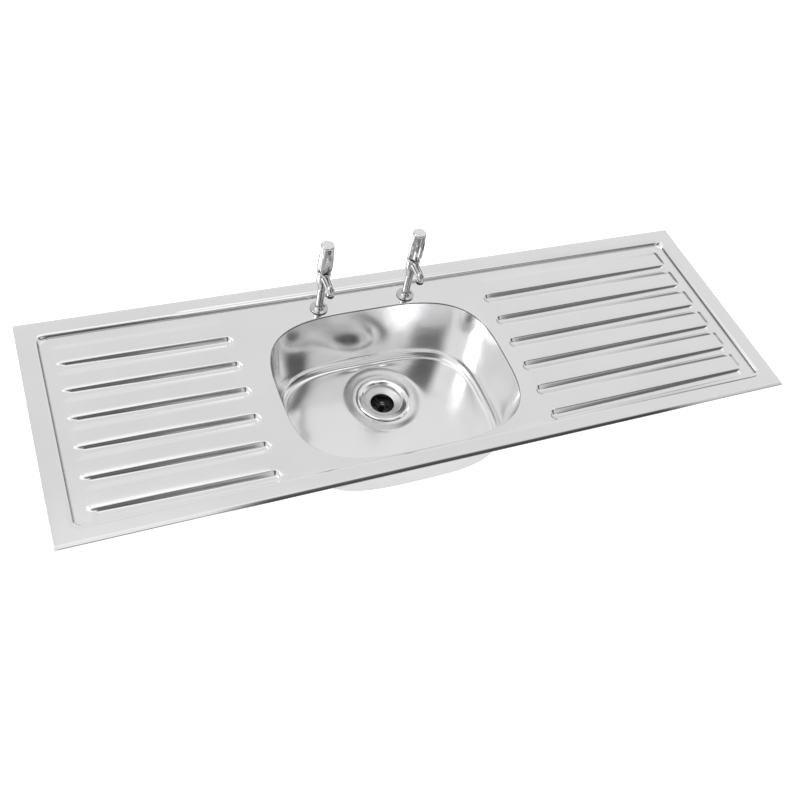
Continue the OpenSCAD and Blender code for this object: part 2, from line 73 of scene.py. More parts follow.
# Fitted to the perspective of the photograph
CAMERA_PLACE = (-0.7202, -1.0761, 1.4016)
CAMERA_RIGHT = (0.91939, -0.35663, 0.16595)
CAMERA_UP = (0.18398, 0.76278, 0.61994)
CAMERA_LENS = 42.4


def link(obj):
    """Puts a new object into the scene and returns it."""
    bpy.context.scene.collection.objects.link(obj)
    return obj


def make_camera():
    data = bpy.data.cameras.new("camera")
    data.lens = CAMERA_LENS
    data.sensor_width = 36
    camera = link(bpy.data.objects.new("camera", data))
    right = Vector(CAMERA_RIGHT).normalized()
    up = Vector(CAMERA_UP).normalized()
    turn = Matrix((right, up, right.cross(up))).transposed().to_4x4()
    camera.matrix_world = Matrix.Translation(CAMERA_PLACE) @ turn
    bpy.context.scene.camera = camera


make_camera()

# ---------------------------------------------------------------- sizes


def cad_mm(node):
    """Lowest and highest corner of a CAD node in millimetres."""
    low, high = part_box(node)
    return np.array(low) / MM, np.array(high) / MM


_, top_high = cad_mm("sink_top")
bowl_low, bowl_high = cad_mm("bowl")
strainer_low, strainer_high = cad_mm("waste_strainer")
TAPS = {joint["child"].split("_")[0]: joint["pos_m"] for joint in frame["joints"]}

SHEET = 1.2
HALF_X = top_high[0]
HALF_Y = top_high[1]
FLANGE_Z = 4.0
LIP_Z = 0.3
EDGE_BEND = 1.6
STEP_DROP = 8.0
STEP_RUN = 10.0
STEP_BEND = 1.0
FLANGE_WIDTH = 30
RECESS_X = HALF_X - FLANGE_WIDTH
RECESS_Y = HALF_Y - FLANGE_WIDTH
RECESS_CORNER = 20
DECK_Z = FLANGE_Z - STEP_DROP
ROLL_LEFT = -445.0
ROLL_RIGHT = 705.0
ROLL_RUN = 11.0
ROLL_DROP = 2.7

GROOVES = 6
FIRST_GROOVE = 132.0
PITCH = 65.6
GROOVE_BACK = 12.0
GROOVE_FRONT = 14.0
GROOVE_DEEP = 6.2
GROOVE_SHALLOW = 2.2
GROOVE_OUT = 680.0
GROOVE_IN = {-1: 367.0, 1: 214.0}
BACK_WALL_RUN = 8.5
END_WALL_RUN = 6.5
FRONT_WALL_RUN = 13.5
GROOVE_BACK_FROM = -4.0
FRONT_WALL_TO = 3.0
GROOVE_BLEND = 8.0
GROOVE_BEND = 0.8
GROOVE_END_FROM = -6.0
GROOVE_END_BLEND = 16.0
GROOVE_OUT_RUN = 8.0
GROOVE_OUT_BEND = 2.0
RIB_HEIGHT = 2.0
RIB_MIDDLE = 34.2
RIB_HALF = 24.0
RIB_IN = 4.0
RIB_OUT = 690.0
RIB_CORNER = 10.0
RIB_FRONT_RUN = 4.0
RIB_BACK_RUN = 11.0
RIB_BLEND = 16.0
RIB_LOW_SHARE = 0.4
RIB_GROWS_OVER = 0.7
RIB_BEND = 0.7

BOWL_X = (bowl_low[0] + bowl_high[0]) / 2
BOWL_Y = (bowl_low[1] + bowl_high[1]) / 2
BOWL_A = 241.0
BOWL_B = 182.0
BOWL_SQUARE = 3.3
EDGE_ROLL = 1.2
BOWL_DEPTH = 152
WALL_TOP = DECK_Z - 3
FLOOR_Z = DECK_Z - BOWL_DEPTH
DRAFT = math.radians(6)
FLOOR_RADIUS = 20.0
FLOOR_RIGHT = 10.0
WASTE_X = (strainer_low[0] + strainer_high[0]) / 2
WASTE_Y = (strainer_low[1] + strainer_high[1]) / 2
SEAT_DROP = 4
SEAT_Z = FLOOR_Z - SEAT_DROP
HOLE_R = 45.0

# ---------------------------------------------------------------- shape helpers


def smooth(t):
    """0 below 0, 1 above 1, with a soft start and end."""
    t = np.clip(t, 0, 1)
    return t * t * (3 - 2 * t)


def soft_ramp(t, run, bend):
    """0 below 0, 1 above run and straight between, with both corners rounded over bend."""

    def area(s):
        s = np.maximum(s, 0)
        return np.where(s < run, s * s / (2 * run), s - run / 2)

    return (area(t + bend) - area(t - bend)) / (2 * bend)


def rounded_rect(x, y, half_x, half_y, corner):
    """Distance outside a rounded rectangle, and below zero inside it."""
    qx = np.abs(x) - half_x + corner
    qy = np.abs(y) - half_y + corner
    beyond = np.hypot(np.maximum(qx, 0), np.maximum(qy, 0))
    return beyond + np.minimum(np.maximum(qx, qy), 0) - corner


def grid_lines(low, high, coarse, zones, marks=()):
    """Places for grid lines: closer together inside each (from, to, step) zone, and one at every mark."""
    ends = [p for zone in zones for p in zone[:2] if low < p < high]
    places = sorted({low, high, *marks, *ends})
    found = [places[0]]
    for a, b in zip(places, places[1:]):
        inside = [step for start, stop, step in zones if start < (a + b) / 2 < stop]
        count = max(1, math.ceil((b - a) / min([coarse, *inside]) - 0.01))
        found.extend(a + (b - a) * (i + 1) / count for i in range(count))
    return np.array(found)


class Skin:
    """Rows of points and the four-sided faces between them."""

    def __init__(self):
        self.points = []
        self.faces = []

    def row(self, x, y, z):
        """Adds points and returns their numbers."""
        x, y, z = np.broadcast_arrays(x, y, z)
        first = len(self.points)
        self.points.extend(zip(x.ravel(), y.ravel(), z.ravel()))
        return np.arange(first, first + x.size).reshape(x.shape)

    def band(self, a, b):
        """Faces between two closed rows of the same length."""
        for i in range(len(a)):
            j = (i + 1) % len(a)
            self.faces.append((a[i], a[j], b[j], b[i]))

    def bands(self, rows):
        for a, b in zip(rows, rows[1:]):
            self.band(a, b)


def make_piece(name, skin, sharp=40):
    """A smooth shaded object from a skin, with normals outwards and no unused points."""
    used, renumbered = np.unique(np.array(skin.faces), return_inverse=True)
    points = np.array(skin.points, float)[used] * MM
    mesh = bpy.data.meshes.new(name)
    mesh.from_pydata(points.tolist(), [], renumbered.reshape(-1, 4).tolist())
    made = bmesh.new()
    made.from_mesh(mesh)
    bmesh.ops.remove_doubles(made, verts=made.verts, dist=0.002 * MM)
    bmesh.ops.recalc_face_normals(made, faces=made.faces)
    made.to_mesh(mesh)
    made.free()
    mesh.shade_smooth()
    mesh.set_sharp_from_angle(angle=math.radians(sharp))
    return link(bpy.data.objects.new(name, mesh))


def round_corners(points, reach, steps):
    """A line with each inner corner turned into a short curve that starts reach away from it."""
    points = [np.array(p, float) for p in points]
    made = [points[0]]
    for before, corner, after in zip(points, points[1:], points[2:]):
        a = np.linalg.norm(before - corner)
        b = np.linalg.norm(after - corner)
        start = corner + (before - corner) / a * min(reach, a * 0.45)
        end = corner + (after - corner) / b * min(reach, b * 0.45)
        for i in range(steps + 1):
            t = i / steps
            made.append(start * (1 - t) ** 2 + corner * 2 * t * (1 - t) + end * t * t)
    return np.array([*made, points[-1]])


# A piece closes on its axis with a ring this small, which make_piece turns into one point
TIP_R = 0.004


def lathe(name, profile, centre, steps, shape=None, closed=False):
    """A turned piece. An open profile starts and ends on the axis, and a closed one is a ring.

    shape(angle, r, z) may change the radius.
    """
    skin = Skin()
    if not closed:
        profile = [(max(r, TIP_R), z) for r, z in profile]
    angle = np.linspace(0, 2 * math.pi, steps, endpoint=False)
    rows = []
    for r, z in profile:
        radius = np.full(steps, r) if shape is None else shape(angle, r, z)
        x = centre[0] + radius * np.cos(angle)
        y = centre[1] + radius * np.sin(angle)
        rows.append(skin.row(x, y, centre[2] + z))
    skin.bands(rows)
    if closed:
        skin.band(rows[-1], rows[0])
    return make_piece(name, skin)


# ---------------------------------------------------------------- materials


def new_material(name):
    """A material, the parts of its node tree, its shader and the place on the object."""
    material = bpy.data.materials.new(name)
    material.use_nodes = True
    nodes = material.node_tree.nodes
    shader = nodes["Principled BSDF"]
    place = nodes.new("ShaderNodeTexCoord").outputs["Object"]
    return material, nodes, material.node_tree.links, shader, place


def add_noise(nodes, links, place, scale, detail, stretch=(1, 1, 1)):
    """A noise value, finer with scale and drawn out along the small axes of stretch."""
    mapping = nodes.new("ShaderNodeMapping")
    mapping.inputs["Scale"].default_value = stretch
    links.new(place, mapping.inputs["Vector"])
    noise = nodes.new("ShaderNodeTexNoise")
    noise.inputs["Scale"].default_value = scale
    noise.inputs["Detail"].default_value = detail
    links.new(mapping.outputs["Vector"], noise.inputs["Vector"])
    return noise.outputs["Fac"]


def spread(nodes, links, value, low, high):
    """Maps noise from 0.3..0.7 to low..high."""
    node = nodes.new("ShaderNodeMapRange")
    node.inputs["From Min"].default_value = 0.3
    node.inputs["From Max"].default_value = 0.7
    node.inputs["To Min"].default_value = low
    node.inputs["To Max"].default_value = high
    links.new(value, node.inputs["Value"])
    return node.outputs["Result"]


def add_bump(nodes, links, height, distance, strength=1.0, under=None):
    bump = nodes.new("ShaderNodeBump")
    bump.inputs["Strength"].default_value = strength
    bump.inputs["Distance"].default_value = distance
    links.new(height, bump.inputs["Height"])
    if under is not None:
        links.new(under, bump.inputs["Normal"])
    return bump.outputs["Normal"]


def tint(nodes, links, value, dark, light):
    """Mixes two colours by a value."""
    ramp = nodes.new("ShaderNodeValToRGB")
    ramp.color_ramp.elements[0].position = 0.3
    ramp.color_ramp.elements[1].position = 0.7
    ramp.color_ramp.elements[0].color = (*dark, 1)
    ramp.color_ramp.elements[1].color = (*light, 1)
    links.new(value, ramp.inputs["Fac"])
    return ramp.outputs["Color"]


def map_value(nodes, links, value, low, high, at_low, at_high):
    """Goes from at_low to at_high, softly, while value goes from low to high."""
    node = nodes.new("ShaderNodeMapRange")
    node.interpolation_type = "SMOOTHSTEP"
    node.inputs["From Min"].default_value = low
    node.inputs["From Max"].default_value = high
    node.inputs["To Min"].default_value = at_low
    node.inputs["To Max"].default_value = at_high
    links.new(value, node.inputs["Value"])
    return node.outputs["Result"]


def maths(nodes, links, operation, first, second=None):
    """The result of an operation on one or two numbers or sockets."""
    node = nodes.new("ShaderNodeMath")
    node.operation = operation
    for socket, value in zip(node.inputs, (first, second)):
        if isinstance(value, (int, float)):
            socket.default_value = value
        elif value is not None:
            links.new(value, socket)
    return node.outputs[0]


def vector_maths(nodes, links, operation, first, second=None):
    """The result of an operation on a socket and, if given, a second socket or three numbers."""
    node = nodes.new("ShaderNodeVectorMath")
    node.operation = operation
    links.new(first, node.inputs[0])
    if isinstance(second, bpy.types.NodeSocket):
        links.new(second, node.inputs[1])
    elif second is not None:
        node.inputs[1].default_value = second
    return node.outputs["Value" if operation == "DOT_PRODUCT" else "Vector"]


def split_axes(nodes, links, vector):
    """The X, Y and Z of a vector."""
    split = nodes.new("ShaderNodeSeparateXYZ")
    links.new(vector, split.inputs[0])
    return split.outputs


def darken(nodes, links, colour, factor):
    """Multiplies a colour by a factor between 0 and 1."""
    node = nodes.new("ShaderNodeMix")
    node.data_type = "RGBA"
    node.inputs[6].default_value = (0, 0, 0, 1)
    links.new(factor, node.inputs[0])
    links.new(colour, node.inputs[7])
    return node.outputs[2]


# Painted dark reflection on the front lip: its strength, its share at the ends, the band across the lip,
# the middle and the fades along it
LIP_SHADE = 0.9
LIP_SHADE_AT_ENDS = 0.2
LIP_SHADE_Y = (7.5 - HALF_Y, 4.0 - HALF_Y)
LIP_SHADE_MIDDLE = 20
LIP_SHADE_FADES = (400, 540)


def front_lip_shade(nodes, links, place):
    """Factor for the painted dark reflection on the turned-down front lip, strongest near the middle."""
    axes = split_axes(nodes, links, place)
    on_lip = map_value(nodes, links, axes["Y"], LIP_SHADE_Y[0] * MM, LIP_SHADE_Y[1] * MM, 0, 1)
    from_middle = maths(nodes, links, "SUBTRACT", axes["X"], LIP_SHADE_MIDDLE * MM)
    along = maths(nodes, links, "ABSOLUTE", from_middle)
    start, stop = (x * MM for x in LIP_SHADE_FADES)
    middle = map_value(nodes, links, along, start, stop, 1, LIP_SHADE_AT_ENDS)
    shade = maths(nodes, links, "MULTIPLY", on_lip, middle)
    return maths(nodes, links, "SUBTRACT", 1.0, maths(nodes, links, "MULTIPLY", shade, LIP_SHADE))


OPENING_SHADE = 0.75
OPENING_SHADE_Z = (DECK_Z - 0.45, DECK_Z - 0.05)
OPENING_SHADE_MARGIN = 2


def opening_shade(nodes, links, place):
    """Factor for the painted shade: a dark line where the sheet rolls over into the bowl."""
    axes = split_axes(nodes, links, place)
    low, high = (z * MM for z in OPENING_SHADE_Z)
    shade = map_value(nodes, links, axes["Z"], low, high, OPENING_SHADE, 0)
    for axis, centre, half in (("X", BOWL_X, BOWL_A), ("Y", BOWL_Y, BOWL_B)):
        away = maths(nodes, links, "ABSOLUTE", maths(nodes, links, "SUBTRACT", axes[axis], centre * MM))
        inside = maths(nodes, links, "LESS_THAN", away, (half + OPENING_SHADE_MARGIN) * MM)
        shade = maths(nodes, links, "MULTIPLY", shade, inside)
    return maths(nodes, links, "SUBTRACT", 1.0, shade)


def faces_away(nodes, links, place, centre):
    """1 on faces that look away from the centre, such as the unpolished underside, and 0 elsewhere."""
    away = vector_maths(nodes, links, "SUBTRACT", place, [c * MM for c in centre])
    unit = vector_maths(nodes, links, "NORMALIZE", away)
    normal = nodes.new("ShaderNodeNewGeometry").outputs["Normal"]
    facing = vector_maths(nodes, links, "DOT_PRODUCT", unit, normal)
    return map_value(nodes, links, facing, 0, 0.2, 0, 1)


DULL_SHADE = 0.7
DULL_ROUGHNESS = 0.5


def polished_steel(name, light, rough, wave, centre, wave_scale, edges=False):
    """Pressed steel: cloudy polish, fine polishing lines, slow waves and a dull side away from centre.

    With edges, painted shade darkens the front lip and the edge of the bowl's opening.
    """
    material, nodes, links, shader, place = new_material(name)
    shader.inputs["Metallic"].default_value = 1.0
    cloud = add_noise(nodes, links, place, 7, 4)
    lines = add_noise(nodes, links, place, 900, 2, (0.04, 1, 1))
    dark = [c * 0.97 for c in light]
    colour = tint(nodes, links, cloud, dark, light)
    dull = faces_away(nodes, links, place, centre)
    if edges:
        colour = darken(nodes, links, colour, front_lip_shade(nodes, links, place))
        colour = darken(nodes, links, colour, opening_shade(nodes, links, place))
    colour = darken(nodes, links, colour, map_value(nodes, links, dull, 0, 1, 1, DULL_SHADE))
    links.new(colour, shader.inputs["Base Color"])
    polish = spread(nodes, links, cloud, rough * 0.8, rough * 1.2)
    satin = maths(nodes, links, "MULTIPLY", dull, DULL_ROUGHNESS)
    links.new(maths(nodes, links, "MAXIMUM", polish, satin), shader.inputs["Roughness"])
    waves = add_noise(nodes, links, place, wave_scale, 1)
    slow = add_bump(nodes, links, waves, wave)
    links.new(add_bump(nodes, links, lines, 0.00001, 0.25, slow), shader.inputs["Normal"])
    return material


def plated(name, light, rough):
    """Bright plating over a cast and polished body."""
    material, nodes, links, shader, place = new_material(name)
    shader.inputs["Metallic"].default_value = 1.0
    cloud = add_noise(nodes, links, place, 60, 3)
    dark = [c * 0.96 for c in light]
    links.new(tint(nodes, links, cloud, dark, light), shader.inputs["Base Color"])
    links.new(spread(nodes, links, cloud, rough * 0.6, rough * 1.4), shader.inputs["Roughness"])
    links.new(add_bump(nodes, links, cloud, 0.00006, 0.3), shader.inputs["Normal"])
    return material


# Painted shade deep in the outlet: the colour falls to this share below these heights
OUTLET_SHADE = 0.06
OUTLET_SHADE_Z = (SEAT_Z - 14.5, SEAT_Z - 11.5)
CUP_SATIN = 0.45
FLANGE_POLISH = 0.09
FLANGE_POLISH_Z = (SEAT_Z - 1.5, SEAT_Z + 1.5)


def waste_metal(name, light):
    """Bright flange, satin cup and a dark outlet below it, where painted shade darkens the metal deep in
    the hole.
    """
    material, nodes, links, shader, place = new_material(name)
    shader.inputs["Metallic"].default_value = 1.0
    height = split_axes(nodes, links, place)["Z"]
    cloud = add_noise(nodes, links, place, 60, 3)
    colour = tint(nodes, links, cloud, [c * 0.96 for c in light], light)
    # painted shade deep in the outlet
    low, high = (z * MM for z in OUTLET_SHADE_Z)
    unshaded = map_value(nodes, links, height, low, high, OUTLET_SHADE, 1)
    links.new(darken(nodes, links, colour, unshaded), shader.inputs["Base Color"])
    low, high = (z * MM for z in FLANGE_POLISH_Z)
    satin = map_value(nodes, links, height, low, high, CUP_SATIN, FLANGE_POLISH)
    links.new(satin, shader.inputs["Roughness"])
    links.new(add_bump(nodes, links, cloud, 0.00006, 0.3), shader.inputs["Normal"])
    return material


def dull_metal(name, dark, light, rough):
    """Zinc plate, brass or other metal as it leaves the works."""
    material, nodes, links, shader, place = new_material(name)
    shader.inputs["Metallic"].default_value = 1.0
    spots = add_noise(nodes, links, place, 90, 5)
    fine = add_noise(nodes, links, place, 400, 3)
    links.new(tint(nodes, links, spots, dark, light), shader.inputs["Base Color"])
    links.new(spread(nodes, links, spots, rough * 0.75, rough * 1.25), shader.inputs["Roughness"])
    links.new(add_bump(nodes, links, fine, 0.00005, 0.5), shader.inputs["Normal"])
    return material


def soft_solid(name, dark, light, rough, grain, depth):
    """Rubber, foam, plastic or ceramic, with its own grain."""
    material, nodes, links, shader, place = new_material(name)
    patches = add_noise(nodes, links, place, 30, 4)
    fine = add_noise(nodes, links, place, grain, 4)
    links.new(tint(nodes, links, patches, dark, light), shader.inputs["Base Color"])
    links.new(spread(nodes, links, patches, rough * 0.9, rough * 1.1), shader.inputs["Roughness"])
    links.new(add_bump(nodes, links, fine, depth, 0.6), shader.inputs["Normal"])
    return material


MATERIALS = {
    "stainless_steel": polished_steel(
        "stainless_steel", (0.88, 0.88, 0.885), 0.15, 0.0003, (0, 0, 3000), 8, edges=True
    ),
    "stainless_bowl": polished_steel(
        "stainless_bowl", (0.95, 0.95, 0.955), 0.17, 0.0008, (BOWL_X, BOWL_Y, DECK_Z), 12
    ),
    "chrome": plated("chrome", (0.60, 0.605, 0.61), 0.04),
    # A lighter copy of the chrome for the index cap: painted highlight
    "chrome_painted_highlight": plated("chrome_painted_highlight", (0.9, 0.9, 0.905), 0.08),
    # A near-black copy of the chrome for the nozzle: painted shade
    "chrome_painted_shade": plated("chrome_painted_shade", (0.07, 0.07, 0.075), 0.12),
    "waste_steel": waste_metal("waste_steel", (0.95, 0.95, 0.95)),
    "stainless_unpolished": dull_metal(
        "stainless_unpolished", (0.36, 0.365, 0.37), (0.48, 0.485, 0.49), 0.48
    ),
    "zinc_steel": dull_metal("zinc_steel", (0.42, 0.43, 0.44), (0.58, 0.59, 0.6), 0.42),
    "brass": dull_metal("brass", (0.42, 0.31, 0.13), (0.56, 0.43, 0.2), 0.34),
    # A near-black copy of the brass for the headwork: painted shadow in the gap under the handle
    "brass_painted_shadow": dull_metal("brass_painted_shadow", (0.05, 0.04, 0.028), (0.09, 0.075, 0.05), 0.5),
    "rubber": soft_solid("rubber", (0.012, 0.012, 0.013), (0.03, 0.03, 0.032), 0.75, 500, 0.0001),
    "foam": soft_solid("foam", (0.10, 0.10, 0.105), (0.17, 0.17, 0.175), 0.95, 1400, 0.0004),
    "damping_pad": soft_solid(
        "damping_pad", (0.02, 0.02, 0.022), (0.05, 0.05, 0.052), 0.85, 260, 0.0003
    ),
    "black_plastic": soft_solid(
        "black_plastic", (0.012, 0.012, 0.012), (0.02, 0.02, 0.02), 0.5, 700, 0.00004
    ),
    "grey_plastic": soft_solid(
        "grey_plastic", (0.11, 0.11, 0.115), (0.17, 0.17, 0.175), 0.45, 600, 0.00005
    ),
    "ceramic": soft_solid("ceramic", (0.78, 0.76, 0.7), (0.86, 0.84, 0.78), 0.2, 300, 0.00001),
}


def finish_piece(obj, slot, body, *nodes, look=None):
    """Gives a new piece its material, its body and the CAD nodes that it stands for.

    The material is the slot's, or the one that look names.
    """
    obj.data.materials.clear()
    obj.data.materials.append(MATERIALS[look or slot])
    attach(obj, body)
    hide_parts(*nodes)


# ---------------------------------------------------------------- sink top


def rib_height(out, across, groove_in):
    """Height of one rib. out runs outwards from the bowl, across backwards from the groove in front."""
    rib_in = groove_in - RIB_IN
    half = (RIB_OUT - rib_in) / 2
    beyond = rounded_rect(out - rib_in - half, across - RIB_MIDDLE, half, RIB_HALF, RIB_CORNER)
    back = smooth((across - RIB_MIDDLE + RIB_HALF) / RIB_BLEND)
    run = RIB_FRONT_RUN + (RIB_BACK_RUN - RIB_FRONT_RUN) * back
    grown = smooth((out - rib_in) / (RIB_GROWS_OVER * (RIB_OUT - rib_in)))
    rise = RIB_LOW_SHARE + (1 - RIB_LOW_SHARE) * grown
    return RIB_HEIGHT * rise * soft_ramp(-beyond, run, RIB_BEND)


def groove_depth(out, across, groove_in):
    """Depth of one groove: steep at the back, gentle in front and with a round end near the bowl."""
    along = np.clip((out - groove_in) / (GROOVE_OUT - groove_in), 0, 1)
    depth = GROOVE_DEEP + (GROOVE_SHALLOW - GROOVE_DEEP) * along
    at_back = smooth((across - GROOVE_BACK_FROM) / GROOVE_BLEND)
    half = GROOVE_FRONT + (GROOVE_BACK - GROOVE_FRONT) * at_back
    inside = half - np.hypot(np.minimum(out - groove_in, 0), across)
    gentle = smooth((FRONT_WALL_TO - across) / GROOVE_BLEND)
    from_end = smooth((out - groove_in - GROOVE_END_FROM) / GROOVE_END_BLEND)
    steep = (END_WALL_RUN + (BACK_WALL_RUN - END_WALL_RUN) * from_end) * np.sqrt(depth / GROOVE_DEEP)
    run = steep + (FRONT_WALL_RUN - steep) * gentle
    ends = soft_ramp(GROOVE_OUT - out, GROOVE_OUT_RUN, GROOVE_OUT_BEND)
    return depth * soft_ramp(inside, run, GROOVE_BEND) * ends


def step_rise(t):
    """Rise of the step from the deck: a tight bend, a steep foot and a broad round shoulder."""
    share = np.clip((t + STEP_BEND) / (STEP_RUN + STEP_BEND), 0, 1)
    shoulder = np.sqrt(np.maximum(1 - (1 - share) ** 2, 0))
    foot = smooth((t + STEP_BEND) / (3 * STEP_BEND))
    return STEP_DROP * shoulder * foot


def back_roll(x, y):
    """How far the flange has rolled down towards the back step, between the roll's two round ends."""
    half = (ROLL_RIGHT - ROLL_LEFT) / 2
    from_end = rounded_rect(x - (ROLL_RIGHT + ROLL_LEFT) / 2, 0, half, 1, 0)
    run = ROLL_RUN * np.sqrt(np.clip(-from_end / ROLL_RUN, 0.001, 1))
    return ROLL_DROP * run / ROLL_RUN * soft_ramp(RECESS_Y + run - y, run, 0.5) * (y > 0)


def top_height(x, y):
    """Height of the sink top's upper face."""
    from_recess = rounded_rect(x, y, RECESS_X, RECESS_Y, RECESS_CORNER)
    rise = step_rise(from_recess + STEP_RUN)
    z = DECK_Z + rise - back_roll(x, y) * rise / STEP_DROP
    for side, groove_in in GROOVE_IN.items():
        for k in range(GROOVES):
            across = y - (FIRST_GROOVE - k * PITCH)
            z = z + rib_height(side * x, across, groove_in)
            z = z - groove_depth(side * x, across, groove_in)
    return z


def opening(angle, inset):
    """A point of the bowl's opening, drawn in by an inset, at an angle about the bowl's centre."""
    a = BOWL_A - inset
    b = BOWL_B - inset
    across = np.abs(np.cos(angle)) / a
    along = np.abs(np.sin(angle)) / b
    radius = (across**BOWL_SQUARE + along**BOWL_SQUARE) ** (-1 / BOWL_SQUARE)
    return BOWL_X + radius * np.cos(angle), BOWL_Y + radius * np.sin(angle)


# How far the rectangle around the bowl's opening reaches past it
AROUND_LEFT = 10
AROUND_RIGHT = 8
AROUND_FRONT = 1.6
AROUND_BACK = 8
# Largest gaps between grid lines
COARSE_X = 12
COARSE_Y = 9
BOWL_GAP = 8
STEP_GAP = 1.4
GROOVE_GAP = 1.3


def top_lines():
    """Grid lines of the sink top along x and y, and the rectangle around the bowl's opening."""
    window = (
        BOWL_X - BOWL_A - AROUND_LEFT,
        BOWL_X + BOWL_A + AROUND_RIGHT,
        BOWL_Y - BOWL_B - AROUND_FRONT,
        BOWL_Y + BOWL_B + AROUND_BACK,
    )
    step = (-STEP_RUN - STEP_BEND - 1, STEP_BEND + 1)
    x_zones = [(window[0], window[1], BOWL_GAP)]
    for side, groove_in in GROOVE_IN.items():
        for start, stop, gap in [
            (RECESS_X + step[0], RECESS_X + step[1], STEP_GAP),
            (GROOVE_OUT - 14, RIB_OUT + 2, STEP_GAP),
            (groove_in - 14, groove_in + 6, GROOVE_GAP),
        ]:
            x_zones.append((min(side * start, side * stop), max(side * start, side * stop), gap))
    y_zones = [
        (-RECESS_Y - step[1], -RECESS_Y - step[0], STEP_GAP),
        (RECESS_Y + step[0], RECESS_Y + ROLL_RUN + 1, STEP_GAP),
    ]
    for k in range(GROOVES):
        groove_y = FIRST_GROOVE - k * PITCH
        y_zones.append((groove_y - 20, groove_y + 15, GROOVE_GAP))
    y_zones.append((FIRST_GROOVE + PITCH - 20, FIRST_GROOVE + PITCH - 6, GROOVE_GAP))
    flat_x = HALF_X - EDGE_BEND
    flat_y = HALF_Y - EDGE_BEND
    x = grid_lines(-flat_x, flat_x, COARSE_X, x_zones, window[:2])
    y = grid_lines(-flat_y, flat_y, COARSE_Y, y_zones, window[2:])
    return x, y, window


def loop_around(numbers, ix, iy):
    """The numbers around a rectangle of a grid, from its lower left corner, anticlockwise."""
    (x0, x1), (y0, y1) = ix, iy
    return np.concatenate([
        numbers[x0:x1, y0],
        numbers[x1, y0:y1],
        numbers[x1:x0:-1, y1],
        numbers[x0, y1:y0:-1],
    ])


def make_sink_top():
    """Two grids of heights, one sheet apart, with a gap for the bowl."""
    x, y, window = top_lines()
    grid_x, grid_y = np.meshgrid(x, y, indexing="ij")
    height = top_height(grid_x, grid_y)
    skin = Skin()
    upper = skin.row(grid_x, grid_y, height)
    lower = skin.row(grid_x, grid_y, height - SHEET)
    ix = [int(np.argmin(abs(x - w))) for w in window[:2]]
    iy = [int(np.argmin(abs(y - w))) for w in window[2:]]
    for numbers in (upper, lower):
        for i in range(len(x) - 1):
            for j in range(len(y) - 1):
                if ix[0] <= i < ix[1] and iy[0] <= j < iy[1]:
                    continue
                corners = ((i, j), (i + 1, j), (i + 1, j + 1), (i, j + 1))
                skin.faces.append(tuple(numbers[corner] for corner in corners))
    add_opening(skin, upper, lower, ix, iy)
    add_outer_edge(skin, upper, lower)
    obj = make_piece("sink_top_sheet", skin, 50)
    finish_piece(obj, "stainless_steel", "sink", "sink_top")


def add_opening(skin, upper, lower, ix, iy):
    """Fills the rectangle around the bowl as far as the opening, and rolls the opening's edge down."""
    upper_loop = loop_around(upper, ix, iy)
    lower_loop = loop_around(lower, ix, iy)
    points = np.array([skin.points[i] for i in upper_loop])
    angle = np.arctan2(points[:, 1] - BOWL_Y, points[:, 0] - BOWL_X)
    edge_x, edge_y = opening(angle, -EDGE_ROLL)
    rows = [upper_loop]
    under = [lower_loop]
    for share in (0.3, 0.55, 0.75, 0.9, 1.0):
        px = points[:, 0] + (edge_x - points[:, 0]) * share
        py = points[:, 1] + (edge_y - points[:, 1]) * share
        pz = top_height(px, py)
        rows.append(skin.row(px, py, pz))
        under.append(skin.row(px, py, pz - SHEET))
    edge_z = top_height(edge_x, edge_y)
    for turn in (30, 60, 90):
        bend = math.radians(turn)
        px, py = opening(angle, EDGE_ROLL * (math.sin(bend) - 1))
        rows.append(skin.row(px, py, edge_z - EDGE_ROLL * (1 - math.cos(bend))))
    px, py = opening(angle, 0)
    rows.append(skin.row(px, py, WALL_TOP))
    skin.bands(rows)
    skin.bands(under)
    skin.band(rows[-1], under[-1])


def add_outer_edge(skin, upper, lower):
    """Turns the flange's outer edge down to a lip."""
    nx, ny = (n - 1 for n in upper.shape)
    upper_loop = loop_around(upper, (0, nx), (0, ny))
    lower_loop = loop_around(lower, (0, nx), (0, ny))
    points = np.array([skin.points[i] for i in upper_loop])
    flat_x = HALF_X - EDGE_BEND
    flat_y = HALF_Y - EDGE_BEND
    out_x = np.sign(points[:, 0]) * (abs(points[:, 0]) > flat_x - 0.01)
    out_y = np.sign(points[:, 1]) * (abs(points[:, 1]) > flat_y - 0.01)
    rows = [upper_loop]
    profile = []
    for bend in np.radians((22, 45, 68, 90)):
        profile.append((EDGE_BEND * math.sin(bend), FLANGE_Z - EDGE_BEND * (1 - math.cos(bend))))
    inner = EDGE_BEND - SHEET
    profile += [(EDGE_BEND, LIP_Z), (inner, LIP_Z), (inner, FLANGE_Z - SHEET - 0.4)]
    for out, z in profile:
        rows.append(skin.row(points[:, 0] + out_x * out, points[:, 1] + out_y * out, z))
    skin.bands([*rows, lower_loop])


make_sink_top()

# ---------------------------------------------------------------- bowl

BOWL_STEPS = 288
WALL_ROWS = 14
FILLET_ROWS = 12
FLOOR_ROWS = 14
RECESS_ROWS = 12
FLOOR_FALL = 1.5
RECESS_OUT = 88.0
RECESS_IN = 64.0


